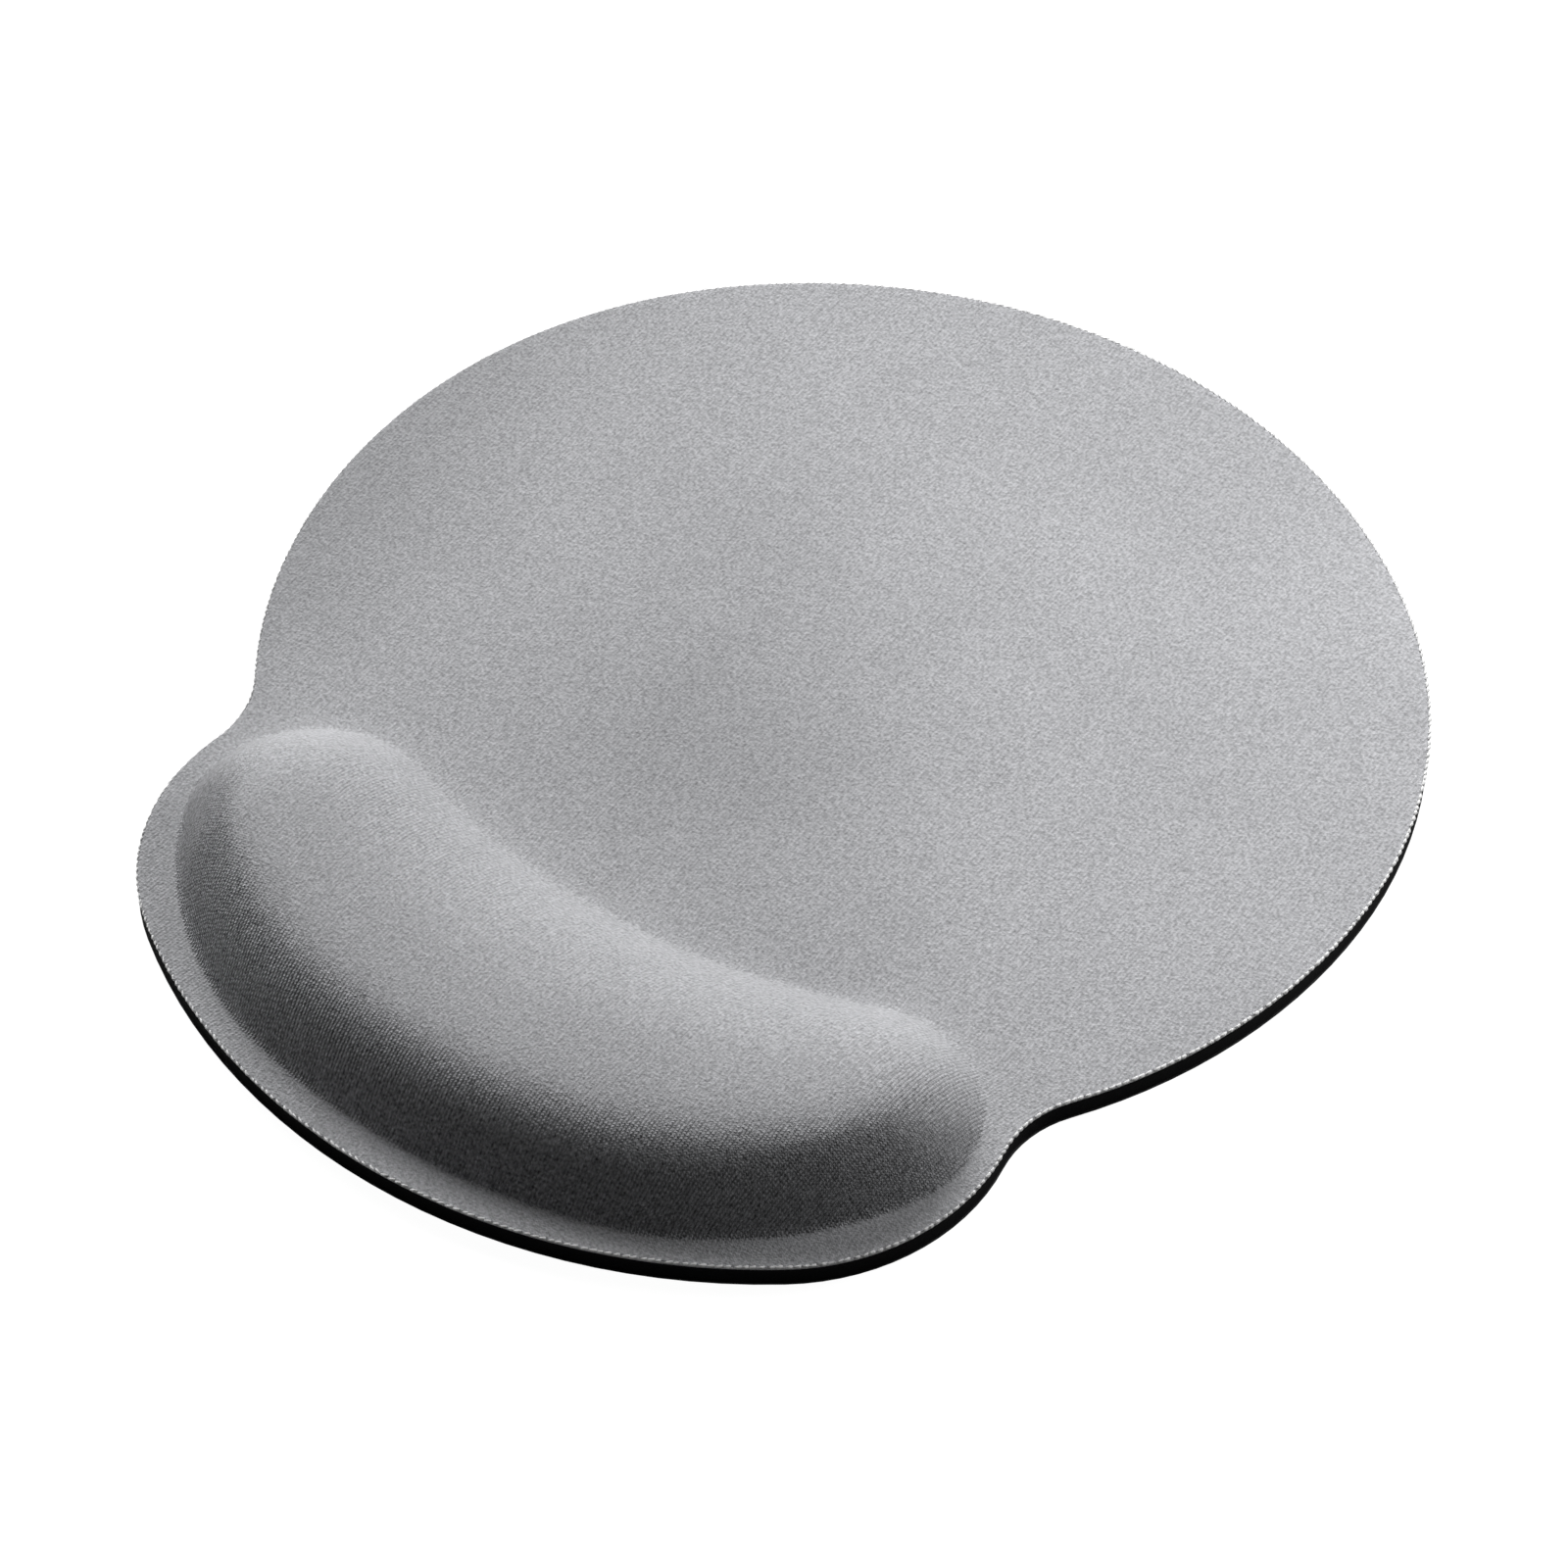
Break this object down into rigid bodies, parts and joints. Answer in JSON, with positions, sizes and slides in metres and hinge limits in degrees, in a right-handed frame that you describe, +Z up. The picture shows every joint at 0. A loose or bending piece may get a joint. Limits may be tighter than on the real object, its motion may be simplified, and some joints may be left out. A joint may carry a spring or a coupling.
{
  "type": "mouse mat with wrist rest",
  "caption": "Round mouse mat that narrows to a neck and widens again under a raised bean-shaped wrist cushion, all under one knit cover.",
  "frame": {"origin": "middle of the mat's length and width, on the underside that rests on the desk", "axes": "+Z up from the desk, -Y towards the user and the wrist cushion, +Y towards the far edge of the mouse area, X across, the plane X = 0 is the mirror plane"},
  "size_m": [0.2218, 0.25, 0.0193],
  "materials": {
    "knit": "matte",
    "film": "satin",
    "foam": "matte",
    "glue": "satin",
    "base_rubber": "matte",
    "grip_rubber": "matte"
  },
  "bodies": {
    "mat": {"grip_skin": "grip_rubber", "base_foam": "base_rubber", "core_adhesive": "glue", "cover_film": "film", "cover_fabric": "knit"},
    "cushion": {"foam_core": "foam"}
  },
  "joints": [
    {"name": "cushion_press", "type": "slide", "parent": "mat", "child": "cushion", "axis": [0, 0, -1], "range_m": [0, 0.005], "stiffness_N_per_m": 3000, "deforming": ["foam_core"]}
  ]
}
